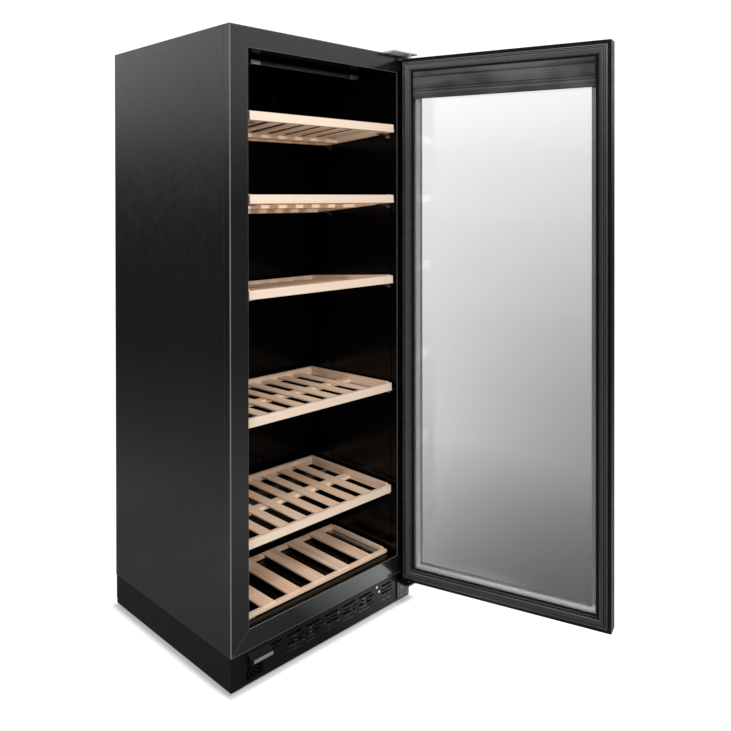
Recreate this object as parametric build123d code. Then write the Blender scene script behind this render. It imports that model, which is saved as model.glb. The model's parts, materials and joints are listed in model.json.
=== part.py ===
from build123d import *
from math import cos, radians, tan
import os

# Tall free-standing wine cooler with a glass door, six wooden shelves and a slotted base.
#
# Millimetres. X runs to the right, Y to the back and Z up. The origin is the centre of the
# cabinet's footprint on the floor. Depths written d are measured back from the front face of the
# cabinet, so depth(d) is the Y of a point d behind that face. The door is modelled closed and then
# swung open.

# Cabinet
WIDTH = 595.0
DEPTH = 576.0
HEIGHT = 1550.0
BASE_TOP = 88.0
BASE_BOTTOM = 8.0
FRONT = -DEPTH / 2
HALF = WIDTH / 2
SHEET = 1.0
PANEL_FRONT = 25.0

# Face frame
FRAME_WIDTH = 50.0
FRAME_SKIN = 3.0
FRAME_FLANGE = 2.0
MITRE_GAP = 0.1

# Cooled compartment
CAVITY_HALF = 250.0
CAVITY_FLOOR = 136.0
CAVITY_TOP = 1502.0
CAVITY_BACK = 515.0
STEP_DEPTH = 290.0
STEP_TOP = 300.0
LINER = 2.0
DUCT_FRONT = 400.0

# Machine compartment under the step
MACHINE_HALF = 290.0
MACHINE_FRONT = 334.0
MACHINE_TOP = 256.0
PAN_FRONT = 16.0
PAN_VENT = 38
PAN_VENT_STEP = 47
PAN_BOTTOM = 20.0
PAN = 2.0

# Door, in the closed position
DOOR_HALF = 292.0
DOOR_BOTTOM = 70.0
DOOR_TOP = 1538.0
DOOR_INNER = -16.0
DOOR_OUTER = -54.0
RING = 39.0
LIP = 8.0
GLASS_INNER = -22.0
GLASS_OUTER = -50.0
PANE = 4.0
SPACER = 8.0
SPACER_WIDTH = 20.0
PIVOT_X = 272.0
PIVOT_D = -28.0
OPEN_ANGLE = 106.0
PIN = 4.0
FIT = 0.06
CLEAR = 0.2

# Header cover, lock and handle on the door
HEADER_BOTTOM = 1424.0
HEADER_TOP = DOOR_TOP - RING - 0.4
HEADER_HALF = DOOR_HALF - RING - 0.4
HEADER_GROOVES = [(1481.0, 2.0), (1450.0, 1.6), (1443.0, 1.6)]
LOCK_X = -225.0
LOCK_Z = 90.0
LOCK_R = 8.0
HANDLE_X = -272.0
HANDLE_LOW = 640.0
HANDLE_HIGH = 1040.0
HANDLE_WIDTH = 14.0
HANDLE_INNER = -84.0
HANDLE_OUTER = -94.0
POST_R = 6.0
POST_INSET = 50.0

# Gasket ring on the door
GASKET_OUT = 284.0
GASKET_WIDTH = 22.0
GASKET_BOTTOM = 84.0
GASKET_TOP = 1526.0
GASKET_FRONT = -1.5

# Shelves above the step, from the top down: height of the front board's top edge, depth of its
# front face, length, and slope in degrees, which lets the rear end hang lower
SHELVES = [
    (1354.0, 5.5, 294.0, 4.7),
    (1156.5, 6.0, 337.0, 5.5),
    (929.5, 9.0, 359.0, 4.2),
    (625.5, 14.0, 357.0, 1.5),
    (335.5, 17.5, 352.0, 0.0),
]
SHELF_HALF = 240.0
BOARD = 22.0
END_BOARD = 11.0
SIDE_BOARD = 10.0
SIDE_RAISE = 2.0
SLAT_DROP = 8.0
SLAT = 4.0
SLAT_COUNT = 7
SLAT_WIDTH = 30.0
SLAT_PITCH = 57.0
CROSS_BAR = 26.0
MIDWAY = 0.5            # where the cross bar lies along a shelf, from its front to its rear
TOP_SHELF_BAR = 0.86    # the short top shelf has its bar near the rear

# Low grid on the compartment's floor
GRID_TOP = 149.5
GRID_BOTTOM = 138.4
GRID_FRONT = 34.0
GRID_LENGTH = 243.0
GRID_RAIL_DROP = 2.5
GRID_FRONT_RAIL = 14.0
GRID_REAR_RAIL = 18.0
GRID_SLAT = 5.0
GRID_SLAT_COUNT = 5
GRID_SLAT_WIDTH = 40.0
GRID_SLAT_PITCH = 82.0
RUNNER_IN = 208.0
RUNNER_OUT = 228.0

# Shelf strips and clips on the side walls
STRIP = 2.0
STRIP_WIDTH = 18.0
STRIP_DEPTHS = [35.0, 290.0]
SLOT_PITCH = 24.0
CLIP_REACH = 205.0
CLIP_WIDTH = 14.0
CLIP = 5.0
GUSSET = 12.0

# Ceiling light
LIGHT_D = 92.0
LIGHT_Z = 1488.0
LIGHT_R = 6.0
LIGHT_HALF = 181.0
LIGHT_HOLDER = 30.0

# Kickplate
GRILLE_LEFT = -261.5
GRILLE_RIGHT = 241.5
GRILLE_D = 2.5
GRILLE = 2.5
SLOT_ROWS = 5
SLOT_ROW_PITCH = 10.0
SLOT_HIGH = 5.0
SLOT_LONG = 46.0
SLOT_STEP = 60.0
SLOT_START = -197.5
SLOT_COLUMNS = 6
SLOT_SHIFT = 9.0
END_SLOT = (188.0, 226.0)

# Latch hood
HOOD_LEFT = -250.0
HOOD_RIGHT = -188.0

# Fans
DUCT_FAN_Z = 1400.0
DUCT_FAN_R = 48.0
COOLING_FAN_X = -145.0
COOLING_FAN_Z = 95.0
COOLING_FAN_R = 60.0
BLADES = 7

# Compressor
COMPRESSOR_X = 130.0
COMPRESSOR_D = 450.0
COMPRESSOR_R = 74.0
COMPRESSOR_LOW = 38.0
COMPRESSOR_HIGH = 196.0
SHELL_ROUND = 32.0
SHELL_WALL = 14.0

FEET = {
    "foot_front_left": (-250.0, 45.0),
    "foot_front_right": (250.0, 45.0),
    "foot_rear_left": (-250.0, 530.0),
    "foot_rear_right": (250.0, 530.0),
}
FOOT_ROD = 4.0

parts = {}


def depth(d):
    return FRONT + d


def block(x0, x1, d0, d1, z0, z1):
    """Box between two X values, two depths and two heights."""
    centre = Pos((x0 + x1) / 2, depth((d0 + d1) / 2), (z0 + z1) / 2)
    return centre * Box(x1 - x0, d1 - d0, z1 - z0)


def rod_z(x, d, z0, z1, radius):
    return Pos(x, depth(d), (z0 + z1) / 2) * Cylinder(radius, z1 - z0)


def rod_y(x, z, d0, d1, radius):
    return Pos(x, depth((d0 + d1) / 2), z) * Rot(90, 0, 0) * Cylinder(radius, d1 - d0)


def rod_x(x0, x1, d, z, radius):
    return Pos((x0 + x1) / 2, depth(d), z) * Rot(0, 90, 0) * Cylinder(radius, x1 - x0)


def prism_front(points, d0, d1):
    """Outline of (x, z) points, filled and run from depth d0 to depth d1."""
    face = Plane.XZ * make_face(Polyline(*points, close=True))
    return Pos(0, depth(d1), 0) * extrude(face, amount=d1 - d0)


def prism_side(points, x0, x1):
    """Outline of (depth, z) points, filled and run from x0 to x1."""
    shifted = [(depth(d), z) for d, z in points]
    face = Plane.YZ * make_face(Polyline(*shifted, close=True))
    return Pos(x0, 0, 0) * extrude(face, amount=x1 - x0)


def mirrored(shape):
    return mirror(shape, about=Plane.YZ)


def group(shapes):
    """The separate solids of several shapes, kept together as one node."""
    return Compound(children=[piece for shape in shapes for piece in shape.solids()])


def opened(shape):
    """The closed door's pieces, swung open about the hinge pins."""
    pivot = Pos(PIVOT_X, depth(PIVOT_D), 0)
    swing = pivot * Rot(0, 0, OPEN_ANGLE) * pivot.inverse()
    return group([swing * piece for piece in shape.solids()])


def mitre(half, bottom, top, reach):
    """Wedges that cut a rectangular ring into four mitred members."""
    gap = MITRE_GAP
    low = bottom + gap
    high = top - gap
    side = [(-half, low), (-half, high), (-half + reach, high - reach), (-half + reach, low + reach)]
    across = half - gap
    head = [(-across, top), (across, top), (across - reach, top - reach), (reach - across, top - reach)]
    foot = [(-across, bottom), (across, bottom), (across - reach, bottom + reach),
            (reach - across, bottom + reach)]
    wedges = [prism_front(outline, -100, 100) for outline in (side, head, foot)]
    left, upper, lower = wedges
    return left, mirrored(left), upper, lower


# ---------------------------------------------------------------- casing

def side_panel():
    """Left panel: a skin with a flange turned in along its rear edge."""
    skin = block(-HALF, -HALF + SHEET, PANEL_FRONT, DEPTH, BASE_TOP, HEIGHT)
    flange = block(-HALF, -HALF + 15, DEPTH - SHEET, DEPTH, BASE_TOP, HEIGHT)
    return skin + flange


def top_panel():
    inside = HALF - SHEET - 0.1
    lid = block(-inside, inside, PANEL_FRONT, DEPTH - SHEET, HEIGHT - SHEET, HEIGHT)
    lip = block(-inside, inside, PANEL_FRONT, PANEL_FRONT + SHEET, HEIGHT - 1.8, HEIGHT)
    return lid + lip


def rear_panel():
    inside = HALF - SHEET - 0.1
    return block(-inside, inside, DEPTH - 2 * SHEET, DEPTH - SHEET, MACHINE_TOP + 2, HEIGHT - SHEET - 0.1)


def machine_cover():
    """Rear lower cover with air slots and the opening for the power inlet."""
    inside = HALF - SHEET - 0.1
    cover = block(-inside, inside, DEPTH - 2 * SHEET, DEPTH - SHEET, PAN_BOTTOM + PAN, MACHINE_TOP + 1.5)
    slots = [block(x, x + 50, DEPTH - 5, DEPTH + 5, z, z + 5)
             for x in (-240, -180, -120, -60, 0, 60) for z in range(120, 240, 14)]
    inlet = block(178, 230, DEPTH - 5, DEPTH + 5, 58, 92)
    return cover - slots - inlet


def face_frame():
    """Four mitred members, each a front plate with a flange turned back at the outer edge."""
    tall = (BASE_TOP + HEIGHT) / 2
    plate = block(-HALF, HALF, 0, FRAME_SKIN, BASE_TOP, HEIGHT)
    plate -= block(-HALF + FRAME_WIDTH, HALF - FRAME_WIDTH, -1, 4, BASE_TOP + FRAME_WIDTH,
                   HEIGHT - FRAME_WIDTH)
    flange = block(-HALF, HALF, 0, PANEL_FRONT - 0.2, BASE_TOP, HEIGHT)
    flange -= block(-HALF + FRAME_FLANGE, HALF - FRAME_FLANGE, -1, 30, BASE_TOP + FRAME_FLANGE,
                    HEIGHT - FRAME_FLANGE)
    ring = plate + flange
    corners = ring.edges().filter_by(lambda e: abs(e.center().Y - FRONT) < 0.01)
    outer = corners.filter_by(lambda e: abs(e.center().X) > HALF - 1 or abs(e.center().Z - tall) > 730)
    ring = chamfer(outer, 1.2)
    return [ring & wedge for wedge in mitre(HALF, BASE_TOP, HEIGHT, FRAME_WIDTH + 10)]


def inner_liner():
    """Black inner box, open at the front, with a step over the machine compartment."""
    wall = LINER
    cavity = [(0, CAVITY_FLOOR), (STEP_DEPTH, CAVITY_FLOOR), (STEP_DEPTH, STEP_TOP),
              (CAVITY_BACK, STEP_TOP), (CAVITY_BACK, CAVITY_TOP), (0, CAVITY_TOP)]
    inside = prism_side(cavity, -CAVITY_HALF, CAVITY_HALF)
    box = liner_outside(FRAME_SKIN + 0.2)
    lip = block(-CAVITY_HALF - 12, CAVITY_HALF + 12, FRAME_SKIN + 0.2, FRAME_SKIN + 0.2 + wall,
                CAVITY_FLOOR - 12, CAVITY_TOP + 12)
    return box + lip - inside


def liner_outside(front, grow=0.0):
    wall = LINER + grow
    outline = [(front, CAVITY_FLOOR - wall), (STEP_DEPTH + wall, CAVITY_FLOOR - wall),
               (STEP_DEPTH + wall, STEP_TOP - wall), (CAVITY_BACK + wall, STEP_TOP - wall),
               (CAVITY_BACK + wall, CAVITY_TOP + wall), (front, CAVITY_TOP + wall)]
    return prism_side(outline, -CAVITY_HALF - wall, CAVITY_HALF + wall)


def insulation_foam():
    """Rigid foam that fills the space between the liner and the casing."""
    front = FRAME_SKIN + 2.4
    filling = block(-HALF + 2.5, HALF - 2.5, front, DEPTH - 2.2, BASE_TOP + 2.4, HEIGHT - 2.2)
    machine = block(-MACHINE_HALF, MACHINE_HALF, MACHINE_FRONT, DEPTH + 5, 0, MACHINE_TOP)
    return filling - liner_outside(0, 0.1) - machine


def duct_panel():
    """Cover in front of the evaporator, with the fan opening and rows of return-air holes."""
    panel = block(-CAVITY_HALF + 1, CAVITY_HALF - 1, DUCT_FRONT, DUCT_FRONT + 2, STEP_TOP + 0.5,
                  CAVITY_TOP - 0.5)
    opening = rod_y(0, DUCT_FAN_Z, DUCT_FRONT - 5, DUCT_FRONT + 5, DUCT_FAN_R + 4)
    grid = [rod_y(x, z, DUCT_FRONT - 5, DUCT_FRONT + 5, 4)
            for x in range(-200, 201, 25) for z in (800, 820, 840, 330, 350, 370)]
    return panel - opening - grid


# ---------------------------------------------------------------- base

def base_skirt(return_width):
    """Left skirt: a side wall that turns across the front as a corner block."""
    outer = HALF - 1.5
    wall = block(-outer, -outer + 2, 2, DEPTH - 2.2, BASE_BOTTOM, BASE_TOP - 1)
    front = block(-outer, -outer + return_width, 2, 4.5, BASE_BOTTOM, BASE_TOP - 1)
    skirt = wall + front
    corner = skirt.edges().filter_by(Axis.Z).sort_by_distance((-outer, depth(2), BASE_TOP / 2))[0]
    return fillet(corner, 1.8)


def base_grille():
    """Kickplate with five rows of short air slots, top and bottom flanges and screw holes."""
    back = GRILLE_D + GRILLE
    plate = block(GRILLE_LEFT, GRILLE_RIGHT, GRILLE_D, back, BASE_BOTTOM + 2, BASE_TOP - 1.5)
    flange = block(GRILLE_LEFT, GRILLE_RIGHT, GRILLE_D, GRILLE_D + 15, BASE_TOP - 3.5, BASE_TOP - 1.5)
    slots = []
    for row in range(SLOT_ROWS):
        z = BASE_TOP - 16 - row * SLOT_ROW_PITCH
        starts = [SLOT_START + column * SLOT_STEP + row % 2 * SLOT_SHIFT for column in range(SLOT_COLUMNS)]
        spans = [(x, x + SLOT_LONG) for x in starts if row < 2 or x > -170]
        slots += [block(x0, x1, 0, 10, z - SLOT_HIGH / 2, z + SLOT_HIGH / 2)
                  for x0, x1 in [*spans, END_SLOT]]
    window = block(-256, -206, 0, 10, 16, 54)
    return plate + flange - slots - window


def kickplate_insert():
    """Rounded insert with curved ribs, under the latch hood."""
    tray = block(-255.5, -206.5, GRILLE_D + 0.5, GRILLE_D + 12, 16.5, 53.5)
    hollow = block(-253.5, -208.5, 0, GRILLE_D + 10, 18.5, 51.5)
    shell = tray - hollow
    ribs = []
    for radius in range(14, 54, 8):
        ring = rod_y(-206.5, 53.5, GRILLE_D + 2, GRILLE_D + 11, radius + 1.2)
        ribs.append((ring - rod_y(-206.5, 53.5, 0, 20, radius - 1.2)) & tray)
    return shell + ribs


def latch_hood():
    """Sloping hood that the lock engages, on the left of the kickplate."""
    outer = [(2.4, 81), (-13, 68), (-13, 57), (2.4, 57)]
    inner = [(3, 77), (-10.5, 66.5), (-10.5, 50), (3, 50)]
    return prism_side(outer, HOOD_LEFT, HOOD_RIGHT) - prism_side(inner, HOOD_LEFT + 2.5, HOOD_RIGHT - 2.5)


def keeper_strip():
    return block(HOOD_LEFT + 7, HOOD_RIGHT - 1, -14.2, -13.05, 59.5, 67.5)


def base_pan():
    """Floor of the machine compartment, with turned-up edges and four foot nuts."""
    top = PAN_BOTTOM + PAN
    pan = block(-292, 292, PAN_FRONT, DEPTH - 3, PAN_BOTTOM, top)
    pan += block(-292, 292, PAN_FRONT, PAN_FRONT + PAN, PAN_BOTTOM, 60)
    pan -= [block(x, x + PAN_VENT, 0, 30, 34, 54) for x in range(-235, 200, PAN_VENT_STEP)]
    for x, d in FEET.values():
        pan += rod_z(x, d, top, top + 12, 10)
    for x, d in FEET.values():
        pan -= rod_z(x, d, 0, 60, FOOT_ROD + FIT)
    return pan


def floor_panel():
    """Sheet under the insulated floor, over the air tunnel from the kickplate."""
    return block(-292, 292, 26, MACHINE_FRONT, BASE_TOP, BASE_TOP + 2)


def foot(x, d):
    """Levelling foot: a pad with a threaded rod standing in its nut."""
    pad = rod_z(x, d, 0, 9, 20)
    pad = chamfer(pad.edges().group_by(Axis.Z)[-1], 2)
    hexagon = Pos(x, depth(d), 12) * extrude(RegularPolygon(8, 6), amount=6)
    return pad + rod_z(x, d, 8, 13, 6) + hexagon + rod_z(x, d, 12, 48, FOOT_ROD)


# ---------------------------------------------------------------- hinges

def hinge_bracket_top():
    """Plate on the cabinet top that carries the upper hinge pin."""
    plate = block(205, 294, -42, 60, HEIGHT, HEIGHT + 5)
    plate = chamfer(plate.edges().filter_by(Axis.Z), 6)
    return plate + rod_z(PIVOT_X, PIVOT_D, DOOR_TOP - 18, HEIGHT + 1, PIN)


def hinge_bracket_bottom():
    """Angle screwed to the right corner block, with the lower hinge pin."""
    shelf = block(246, 293, -42, 1.9, DOOR_BOTTOM - 8, DOOR_BOTTOM - 3)
    shelf = chamfer(shelf.edges().filter_by(Axis.Z).group_by(Axis.Y)[0], 5)
    leaf = block(246, 293, -1.6, 1.9, 14, DOOR_BOTTOM - 3)
    return shelf + leaf + rod_z(PIVOT_X, PIVOT_D, DOOR_BOTTOM - 4, DOOR_BOTTOM + 18, PIN)


def hinge_bushes():
    """Plastic bushes in the door's top and bottom rails, flanged towards the brackets."""
    upper = rod_z(PIVOT_X, PIVOT_D, DOOR_TOP - 20, DOOR_TOP, 7)
    upper += rod_z(PIVOT_X, PIVOT_D, DOOR_TOP, DOOR_TOP + 3, 9)
    upper -= rod_z(PIVOT_X, PIVOT_D, DOOR_TOP - 18.5, DOOR_TOP + 9, PIN + FIT)
    lower = rod_z(PIVOT_X, PIVOT_D, DOOR_BOTTOM, DOOR_BOTTOM + 20, 7)
    lower += rod_z(PIVOT_X, PIVOT_D, DOOR_BOTTOM - 2.8, DOOR_BOTTOM, 9)
    lower -= rod_z(PIVOT_X, PIVOT_D, DOOR_BOTTOM - 9, DOOR_BOTTOM + 18.5, PIN + FIT)
    return group([upper, lower])


def cabinet_screws():
    """Screw heads on the hinge plates, the kickplate and the evaporator cover."""
    heads = [rod_z(x, d, HEIGHT + 5, HEIGHT + 7.2, 4.5) for x, d in ((225, 15), (250, 45), (275, 15))]
    heads += [rod_y(x, z, -3.4, -1.6, 4) for x, z in ((258, 24), (281, 24), (258, 46), (281, 46))]
    heads += [rod_y(x, z, 0.9, GRILLE_D, 3.5) for x, z in ((168, 77), (177, 62))]
    heads += [rod_y(x, z, DUCT_FRONT - 1.5, DUCT_FRONT, 3.5)
              for x in (-222, 115, 222) for z in (480, 1451)]
    return group(heads)


# ---------------------------------------------------------------- door, closed

def door_ring():
    """Frame of the door with a rebate for the glazing, cut into four mitred members."""
    inner = DOOR_HALF - RING
    low = DOOR_BOTTOM + RING
    high = DOOR_TOP - RING
    ring = block(-DOOR_HALF, DOOR_HALF, DOOR_OUTER, DOOR_INNER, DOOR_BOTTOM, DOOR_TOP)
    ring = fillet(ring.edges().filter_by(Axis.Z), 2)
    ring -= block(-inner, inner, -60, 0, low, high)
    rebate = inner + LIP + CLEAR
    ring -= block(-rebate, rebate, GLASS_OUTER - CLEAR, GLASS_INNER + CLEAR, low - LIP - CLEAR,
                  high + LIP + CLEAR)
    bores = [rod_z(PIVOT_X, PIVOT_D, DOOR_TOP - 20.2, DOOR_TOP + 5, 7.02),
             rod_z(PIVOT_X, PIVOT_D, 0, DOOR_BOTTOM + 20.2, 7.02)]
    lock = rod_y(LOCK_X, LOCK_Z, DOOR_OUTER - 5, DOOR_OUTER + 14.2, LOCK_R + FIT)
    ring = ring - bores - lock
    return [ring & wedge for wedge in mitre(DOOR_HALF, DOOR_BOTTOM, DOOR_TOP, RING + 10)]


def rectangle_ring(half, bottom, top, width, d0, d1):
    outside = block(-half, half, d0, d1, bottom, top)
    return outside - block(width - half, half - width, d0 - 1, d1 + 1, bottom + width, top - width)


def door_gasket():
    """Magnetic gasket: a ring with bevelled front corners and a fold along its inner side."""
    ring = block(-GASKET_OUT, GASKET_OUT, DOOR_INNER, GASKET_FRONT, GASKET_BOTTOM, GASKET_TOP)
    ring = chamfer(ring.faces().sort_by(Axis.Y)[-1].edges(), 5)
    inner = GASKET_OUT - GASKET_WIDTH
    ring -= block(-inner, inner, -30, 10, GASKET_BOTTOM + GASKET_WIDTH, GASKET_TOP - GASKET_WIDTH)
    for step in (-12.5, -8.5, -4.5):
        fold = 1.2
        ring -= block(-inner - fold, inner + fold, step, step + 1.6,
                      GASKET_BOTTOM + GASKET_WIDTH - fold, GASKET_TOP - GASKET_WIDTH + fold)
    return ring


def glass_panes():
    """The three panes of the glazing unit."""
    edge = DOOR_HALF - RING + LIP
    starts = [GLASS_OUTER + i * (PANE + SPACER) for i in range(3)]
    return group([block(-edge, edge, d, d + PANE, DOOR_BOTTOM + RING - LIP, DOOR_TOP - RING + LIP)
                  for d in starts])


def glass_spacers():
    """Two aluminium spacer frames between the three panes."""
    edge = DOOR_HALF - RING + LIP - 0.5
    bottom = DOOR_BOTTOM + RING - LIP + 0.5
    top = DOOR_TOP - RING + LIP - 0.5
    starts = (GLASS_OUTER + PANE, GLASS_OUTER + 2 * PANE + SPACER)
    return group([rectangle_ring(edge, bottom, top, SPACER_WIDTH, d, d + SPACER) for d in starts])


def header_cover():
    """Grooved cover over the control board, at the top of the door's inner side."""
    back = GLASS_INNER + 0.1
    front = DOOR_INNER + 7
    cover = block(-HEADER_HALF, HEADER_HALF, back, front, HEADER_BOTTOM, HEADER_TOP)
    cover = chamfer(cover.faces().sort_by(Axis.Y)[-1].edges().filter_by(Axis.X), 2)
    cover -= block(-HEADER_HALF + 2, HEADER_HALF - 2, back - 1, front - 2.5, HEADER_BOTTOM + 2,
                   HEADER_TOP - 2)
    for z, high in HEADER_GROOVES:
        cover -= block(-HEADER_HALF - 1, HEADER_HALF + 1, front - 1.2, front + 1, z, z + high)
    return cover


def control_board():
    board = block(-90, 90, GLASS_INNER + 0.4, GLASS_INNER + 2, 1432, 1476)
    chips = [block(x, x + 14, GLASS_INNER + 2, GLASS_INNER + 5, 1445, 1459) for x in (-70, -25, 20, 60)]
    return board + chips


def door_handle():
    """Slim vertical bar on two posts, on the outer side near the free edge."""
    bar = block(HANDLE_X - HANDLE_WIDTH / 2, HANDLE_X + HANDLE_WIDTH / 2, HANDLE_OUTER, HANDLE_INNER,
                HANDLE_LOW, HANDLE_HIGH)
    bar = fillet(bar.edges().filter_by(Axis.Z), 3)
    ends = (HANDLE_LOW + POST_INSET, HANDLE_HIGH - POST_INSET)
    return bar + [rod_y(HANDLE_X, z, HANDLE_INNER - 2, DOOR_OUTER, POST_R) for z in ends]


def lock_barrel():
    """Key barrel that turns in the bottom rail."""
    barrel = rod_y(LOCK_X, LOCK_Z, DOOR_OUTER, DOOR_OUTER + 14, LOCK_R)
    barrel += rod_y(LOCK_X, LOCK_Z, DOOR_OUTER - 3, DOOR_OUTER, LOCK_R + 2)
    slot = block(LOCK_X - 1, LOCK_X + 1, DOOR_OUTER - 4, DOOR_OUTER + 5, LOCK_Z - 4.5, LOCK_Z + 4.5)
    return barrel - slot


# ---------------------------------------------------------------- shelves and their supports

def slats(count, width, pitch, d0, d1, bottom, top):
    """Evenly spaced slats that run from front to back, centred on the cabinet."""
    first = -pitch * (count - 1) / 2
    centres = [first + i * pitch for i in range(count)]
    return [block(x - width / 2, x + width / 2, d0, d1, bottom, top) for x in centres]


def shelf(top, front, long, slope, bar_at):
    """Four boards, slats let in below the boards' top edges and a cross bar under the slats."""
    rear = front + long
    start = front + END_BOARD
    stop = rear - END_BOARD
    bottom = top - BOARD
    inside = SHELF_HALF - SIDE_BOARD
    left = block(-SHELF_HALF, -inside, start, stop, bottom, top + SIDE_RAISE)
    boards = [block(-SHELF_HALF, SHELF_HALF, front, start, bottom, top),
              block(-SHELF_HALF, SHELF_HALF, stop, rear, bottom, top + SIDE_RAISE), left, mirrored(left)]
    high = top - SLAT_DROP
    middle = start + (stop - start) * bar_at
    bar = block(-inside, inside, middle - CROSS_BAR / 2, middle + CROSS_BAR / 2, bottom, high - SLAT)
    row = slats(SLAT_COUNT, SLAT_WIDTH, SLAT_PITCH, start, stop, high - SLAT, high)
    edge = Pos(0, depth(front), top)
    tilt = edge * Rot(-slope, 0, 0) * edge.inverse()
    return group([tilt * piece for piece in [*boards, *row, bar]])


def floor_grid():
    """Low shelf: wide slats let into the front and rear rails, standing a little proud of them."""
    rear = GRID_FRONT + GRID_LENGTH
    rail_top = GRID_TOP - GRID_RAIL_DROP
    start = GRID_FRONT + GRID_FRONT_RAIL
    stop = rear - GRID_REAR_RAIL
    row = slats(GRID_SLAT_COUNT, GRID_SLAT_WIDTH, GRID_SLAT_PITCH, GRID_FRONT + 6, rear - 4,
                GRID_TOP - GRID_SLAT, GRID_TOP)
    rails = [block(-SHELF_HALF, SHELF_HALF, GRID_FRONT, start, GRID_BOTTOM, rail_top) - row,
             block(-SHELF_HALF, SHELF_HALF, stop, rear, GRID_BOTTOM, rail_top) - row]
    left = block(-SHELF_HALF, SIDE_BOARD - SHELF_HALF, start, stop, GRID_BOTTOM, GRID_TOP)
    return group([*rails, left, mirrored(left), *row])


def shelf_strips():
    """Slotted strips on the side walls, two on each side."""
    strips = []
    for d, low in zip(STRIP_DEPTHS, (CAVITY_FLOOR + 34, STEP_TOP + 6)):
        strip = block(-CAVITY_HALF, STRIP - CAVITY_HALF, d - STRIP_WIDTH / 2, d + STRIP_WIDTH / 2, low,
                      CAVITY_TOP - 30)
        count = int((CAVITY_TOP - 40 - low) / SLOT_PITCH)
        slots = [block(-260, -240, d - 5, d + 5, low + 10 + i * SLOT_PITCH, low + 15 + i * SLOT_PITCH)
                 for i in range(count)]
        strip -= slots
        strips += [strip, mirrored(strip)]
    return group(strips)


def shelf_clips():
    """Four clips under each sloping shelf, and two runners that carry the floor grid."""
    wall = CAVITY_HALF - STRIP
    outline = [(-wall, 0), (-CLIP_REACH, 0), (-CLIP_REACH, -2), (-wall + 8, -CLIP), (-wall, -GUSSET)]
    clip = Pos(0, -FRONT, 0) * prism_front(outline, -CLIP_WIDTH / 2, CLIP_WIDTH / 2)
    clips = []
    for top, front, long, slope in SHELVES:
        for d in STRIP_DEPTHS:
            under = top - (d - front) * tan(radians(slope)) - BOARD / cos(radians(slope))
            left = Pos(0, depth(d), under - CLEAR) * Rot(-slope, 0, 0) * clip
            clips += [left, mirrored(left)]
    runner = block(-RUNNER_OUT, -RUNNER_IN, GRID_FRONT, GRID_FRONT + GRID_LENGTH, CAVITY_FLOOR,
                   GRID_BOTTOM - CLEAR)
    return group([*clips, runner, mirrored(runner)])


# ---------------------------------------------------------------- light

def light_tube():
    reach = LIGHT_HALF - LIGHT_HOLDER
    return rod_x(-reach, reach, LIGHT_D, LIGHT_Z, LIGHT_R)


def light_clips():
    """Metal end holders, each hung from the ceiling by a thin stem."""
    holder = block(-LIGHT_HALF, LIGHT_HOLDER - LIGHT_HALF, LIGHT_D - 7, LIGHT_D + 7, LIGHT_Z - 6, LIGHT_Z + 5)
    holder = fillet(holder.edges().filter_by(Axis.X), 2)
    middle = LIGHT_HOLDER / 2 - LIGHT_HALF
    stem = block(middle - 5, middle + 5, LIGHT_D - 1.5, LIGHT_D + 1.5, LIGHT_Z + 4, CAVITY_TOP)
    left = holder + stem
    return group([left, mirrored(left)])


# ---------------------------------------------------------------- cooling system

def fan(x, z, middle, radius, hub):
    """Axial fan on the Y axis: a bored hub with pitched blades."""
    blades = []
    for i in range(BLADES):
        blade = Pos(radius / 2, 0, 0) * Rot(35, 0, 0) * Box(radius * 1.1, radius * 0.42, 1.6)
        blades.append(Rot(0, 0, 360 * i / BLADES) * blade)
    rotor = Cylinder(hub, 16) + blades
    rotor = rotor & Cylinder(radius, 30)
    rotor -= Pos(0, 0, 3) * Cylinder(2.5 + FIT, 20)
    return Pos(x, depth(middle), z) * Rot(-90, 0, 0) * rotor


def fan_frame(x, z, front, half, long):
    """Square fan housing with four struts and a motor with its spindle."""
    frame = block(x - half, x + half, front, front + long, z - half, z + half)
    frame -= rod_y(x, z, front - 1, front + long + 1, half - 4)
    strut = front + long - 3
    frame += block(x - half + 2, x + half - 2, strut, front + long, z - 3, z + 3)
    frame += block(x - 3, x + 3, strut, front + long, z - half + 2, z + half - 2)
    frame += rod_y(x, z, strut - 2, front + long, half * 0.3)
    return frame + rod_y(x, z, front + 5.5, strut, 2.5)


def evaporator():
    """Finned block with three cross tubes."""
    fins = [block(x, x + 1.2, 430, 490, 950, 1240) for x in range(-150, 151, 20)]
    tubes = [rod_x(-165, 165, 460, z, 5) for z in (1000, 1095, 1190)]
    return tubes[0].fuse(*tubes[1:], *fins)


def condenser():
    """Finned block in front of the cooling fan, with its tube rows."""
    x = COOLING_FAN_X
    z = COOLING_FAN_Z
    fins = [block(x + i, x + i + 1.2, 340, 388, z - 62, z + 62) for i in range(-66, 66, 12)]
    tubes = [rod_x(x - 74, x + 74, 364, z + i, 4) for i in (-45, -15, 15, 45)]
    return tubes[0].fuse(*tubes[1:], *fins)


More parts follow.
